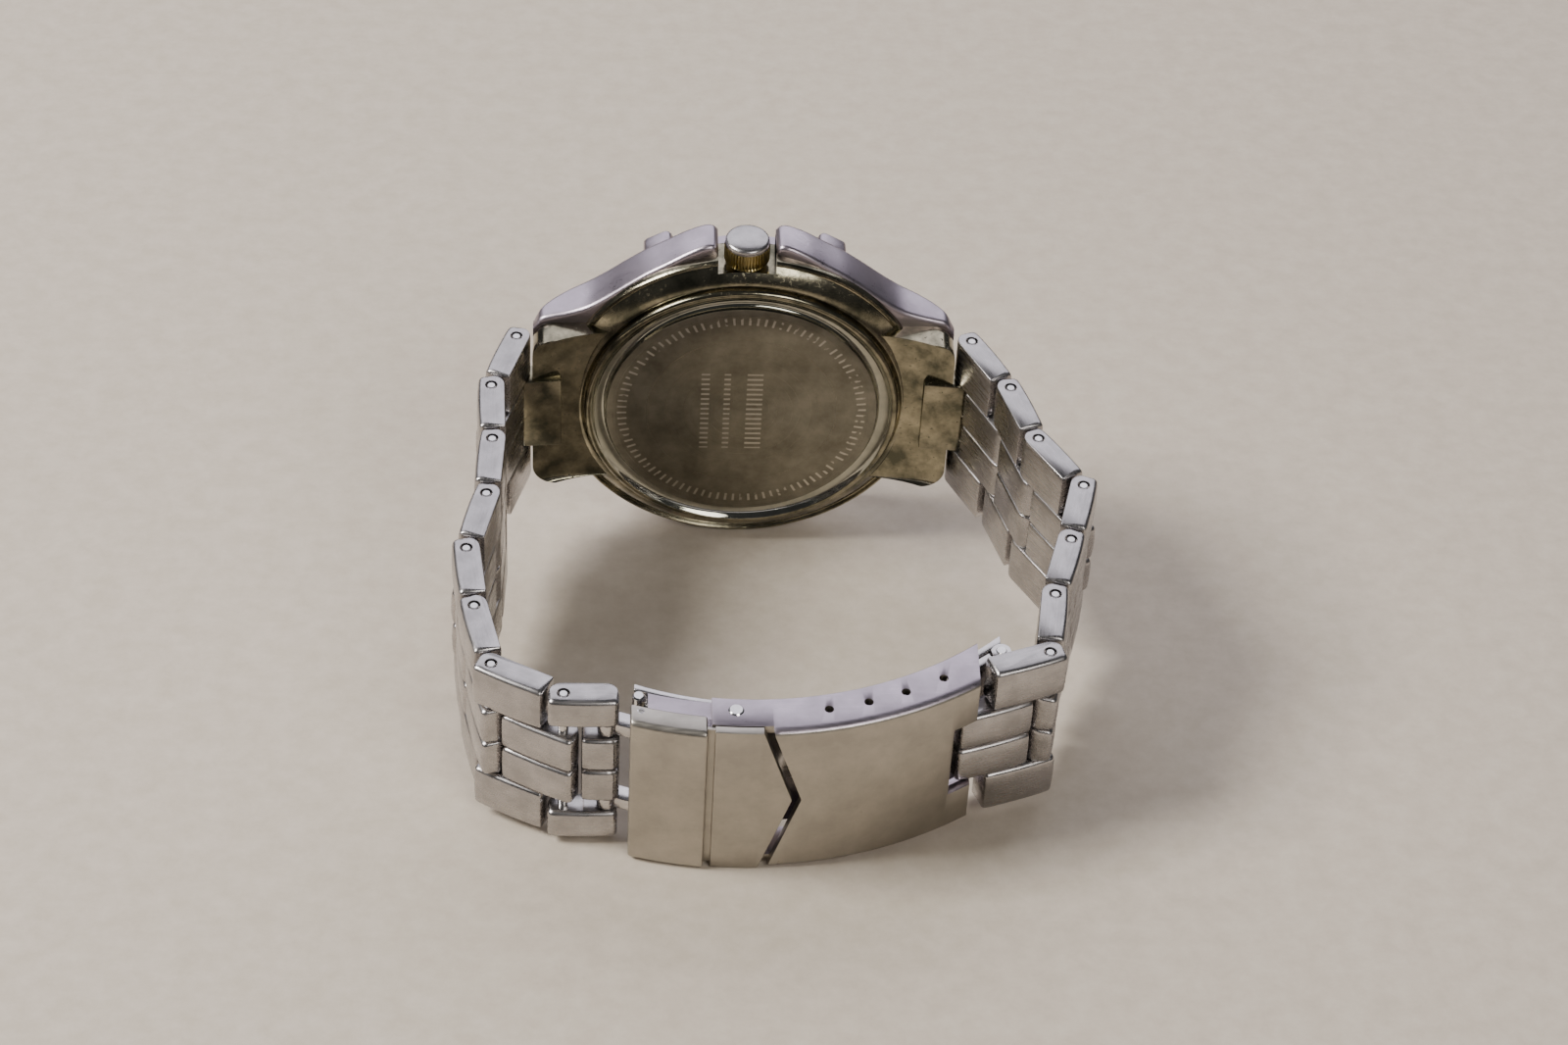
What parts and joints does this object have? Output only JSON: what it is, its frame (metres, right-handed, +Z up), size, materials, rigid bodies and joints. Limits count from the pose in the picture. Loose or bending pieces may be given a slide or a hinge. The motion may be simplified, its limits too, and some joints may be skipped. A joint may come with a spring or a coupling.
{
  "type": "wristwatch",
  "caption": "Wristwatch on a three-row steel link bracelet closed by a fold-over clasp, with screw case back, turning bezel, pull-out crown and three hands.",
  "frame": {"origin": "centre of the bounding box on the ground under the watch, which stands on its nine o'clock edge", "axes": "+Z up; +X from six to twelve o'clock; +Y from the clasp to the case; the case leans toward the clasp by 9.9 degrees"},
  "size_m": [0.065, 0.0678, 0.0404],
  "materials": {
    "satin_steel": "satin, worn",
    "side_steel": "satin sides with polished edges",
    "back_steel": "sunburst brushed",
    "polished_steel": "polished",
    "gilt": "worn plating",
    "copper_wire": "wound enamelled wire",
    "rubber": "matte",
    "holder_plastic": "moulded",
    "dial_paint": "lacquered",
    "ring_paint": "printed",
    "crystal_glass": "polished",
    "board": "solder mask"
  },
  "bodies": {
    "case": {"mid_case": "side_steel", "case_back": "back_steel", "case_back_gasket": "rubber", "crystal": "crystal_glass", "chapter_ring": "ring_paint", "dial": "dial_paint", "movement_plate": "gilt", "movement_holder": "holder_plastic", "circuit_board": "board", "battery": "polished_steel", "coil": "copper_wire", "crown_tube": "polished_steel", "bezel_click_spring": "polished_steel"},
    "bezel": {"bezel": "side_steel"},
    "crown_sleeve": {"crown_gasket": "rubber"},
    "crown": {"crown": "gilt", "winding_stem": "polished_steel"},
    "hour": {"hour_hand": "polished_steel"},
    "minute": {"minute_hand": "polished_steel"},
    "second": {"second_hand": "polished_steel"},
    "left_1": {"left_link_1": "satin_steel", "left_pin_0": "polished_steel"},
    "left_2": {"left_link_2": "satin_steel", "left_pin_1": "polished_steel"},
    "left_3": {"left_link_3": "satin_steel", "left_pin_2": "polished_steel"},
    "left_4": {"left_link_4": "satin_steel", "left_pin_3": "polished_steel"},
    "left_5": {"left_link_5": "satin_steel", "left_pin_4": "polished_steel"},
    "left_6": {"left_link_6": "satin_steel", "left_pin_5": "polished_steel"},
    "left_7": {"left_link_7": "satin_steel", "left_pin_6": "polished_steel"},
    "left_8": {"left_link_8": "satin_steel", "left_pin_7": "polished_steel", "left_end_pin": "polished_steel"},
    "right_1": {"right_link_1": "satin_steel", "right_pin_0": "polished_steel"},
    "right_2": {"right_link_2": "satin_steel", "right_pin_1": "polished_steel"},
    "right_3": {"right_link_3": "satin_steel", "right_pin_2": "polished_steel"},
    "right_4": {"right_link_4": "satin_steel", "right_pin_3": "polished_steel"},
    "right_5": {"right_link_5": "satin_steel", "right_pin_4": "polished_steel"},
    "right_6": {"right_link_6": "satin_steel", "right_pin_5": "polished_steel"},
    "right_7": {"right_link_7": "satin_steel", "right_pin_6": "polished_steel"},
    "cover": {"clasp_cover": "satin_steel", "clasp_spring_bar": "polished_steel", "flip_lock_pin": "polished_steel", "fold_pin_1": "polished_steel"},
    "lock": {"flip_lock": "satin_steel"},
    "middle": {"middle_blade": "polished_steel", "fold_pin_2": "polished_steel"},
    "inner": {"inner_blade": "polished_steel", "catch_pin": "polished_steel"}
  },
  "joints": [
    {"name": "bezel_turn", "type": "hinge", "parent": "case", "child": "bezel", "pos_m": [-0.00288, 0.02169, 0.01896], "axis": [0, -0.9851, -0.1719], "continuous": true},
    {"name": "crown_pull", "type": "slide", "parent": "case", "child": "crown_sleeve", "axis": [0, -0.1719, 0.9851], "range_m": [0, 0.0015]},
    {"name": "crown_turn", "type": "hinge", "parent": "crown_sleeve", "child": "crown", "pos_m": [-0.00288, 0.02253, 0.03738], "axis": [0, -0.1719, 0.9851], "continuous": true},
    {"name": "hour_hand_turn", "type": "hinge", "parent": "case", "child": "hour", "pos_m": [-0.00288, 0.02169, 0.01896], "axis": [0, -0.9851, -0.1719], "continuous": true},
    {"name": "minute_hand_turn", "type": "hinge", "parent": "case", "child": "minute", "pos_m": [-0.00288, 0.02169, 0.01896], "axis": [0, -0.9851, -0.1719], "continuous": true},
    {"name": "second_hand_turn", "type": "hinge", "parent": "case", "child": "second", "pos_m": [-0.00288, 0.02169, 0.01896], "axis": [0, -0.9851, -0.1719], "continuous": true},
    {"name": "left_hinge_1", "type": "hinge", "parent": "case", "child": "left_1", "pos_m": [-0.02653, 0.02208, 0.01903], "axis": [0, 0.1719, -0.9851], "range_deg": [0, 72]},
    {"name": "left_hinge_2", "type": "hinge", "parent": "left_1", "child": "left_2", "pos_m": [-0.02896, 0.01473, 0.01775], "axis": [0, 0.1719, -0.9851], "range_deg": [0, 32]},
    {"name": "left_hinge_3", "type": "hinge", "parent": "left_2", "child": "left_3", "pos_m": [-0.02868, 0.007, 0.0164], "axis": [0, 0.1719, -0.9851], "range_deg": [0, 7]},
    {"name": "left_hinge_4", "type": "hinge", "parent": "left_3", "child": "left_4", "pos_m": [-0.02909, -0.00073, 0.01505], "axis": [0, 0.1719, -0.9851], "range_deg": [0, 3]},
    {"name": "left_hinge_5", "type": "hinge", "parent": "left_4", "child": "left_5", "pos_m": [-0.03086, -0.00826, 0.01374], "axis": [0, 0.1719, -0.9851], "range_deg": [0, 32]},
    {"name": "left_hinge_6", "type": "hinge", "parent": "left_5", "child": "left_6", "pos_m": [-0.0299, -0.01594, 0.0124], "axis": [0, 0.1719, -0.9851], "range_deg": [0, 18.3]},
    {"name": "left_hinge_7", "type": "hinge", "parent": "left_6", "child": "left_7", "pos_m": [-0.02809, -0.02346, 0.01108], "axis": [0, 0.1719, -0.9851], "range_deg": [0, 60.4]},
    {"name": "left_hinge_8", "type": "hinge", "parent": "left_7", "child": "left_8", "pos_m": [-0.02118, -0.02712, 0.01044], "axis": [0, 0.1719, -0.9851], "range_deg": [0, 40.3]},
    {"name": "right_hinge_1", "type": "hinge", "parent": "case", "child": "right_1", "pos_m": [0.02077, 0.02208, 0.01903], "axis": [0, -0.1719, 0.9851], "range_deg": [0, 63]},
    {"name": "right_hinge_2", "type": "hinge", "parent": "right_1", "child": "right_2", "pos_m": [0.02433, 0.01519, 0.01783], "axis": [0, -0.1719, 0.9851], "range_deg": [0, 22]},
    {"name": "right_hinge_3", "type": "hinge", "parent": "right_2", "child": "right_3", "pos_m": [0.02663, 0.00779, 0.01654], "axis": [0, -0.1719, 0.9851], "range_deg": [0, 3]},
    {"name": "right_hinge_4", "type": "hinge", "parent": "right_3", "child": "right_4", "pos_m": [0.03067, 0.00117, 0.01538], "axis": [0, -0.1719, 0.9851], "range_deg": [0, 57]},
    {"name": "right_hinge_5", "type": "hinge", "parent": "right_4", "child": "right_5", "pos_m": [0.02877, -0.00634, 0.01407], "axis": [0, -0.1719, 0.9851], "range_deg": [0, 14]},
    {"name": "right_hinge_6", "type": "hinge", "parent": "right_5", "child": "right_6", "pos_m": [0.02661, -0.01377, 0.01277], "axis": [0, -0.1719, 0.9851], "range_deg": [0, 4.1]},
    {"name": "right_hinge_7", "type": "hinge", "parent": "right_6", "child": "right_7", "pos_m": [0.02551, -0.02143, 0.01144], "axis": [0, -0.1719, 0.9851], "range_deg": [0, 74.2]},
    {"name": "cover_hinge", "type": "hinge", "parent": "right_7", "child": "cover", "pos_m": [0.01812, -0.02404, 0.01098], "axis": [0, -0.1719, 0.9851], "range_deg": [0, 45]},
    {"name": "flip_lock_hinge", "type": "hinge", "parent": "cover", "child": "lock", "pos_m": [-0.01388, -0.02929, 0.01007], "axis": [0, 0.1719, -0.9851], "range_deg": [0, 80]},
    {"name": "middle_blade_hinge", "type": "hinge", "parent": "cover", "child": "middle", "pos_m": [-0.00488, -0.02912, 0.0101], "axis": [0, -0.1719, 0.9851], "range_deg": [0, 32]},
    {"name": "inner_blade_hinge", "type": "hinge", "parent": "middle", "child": "inner", "pos_m": [0.02112, -0.01922, 0.01182], "axis": [0, -0.1719, 0.9851], "range_deg": [-32, 0]}
  ],
  "couplings": [
    {"joint": "inner_blade_hinge", "follows": "middle_blade_hinge", "ratio": -1}
  ]
}
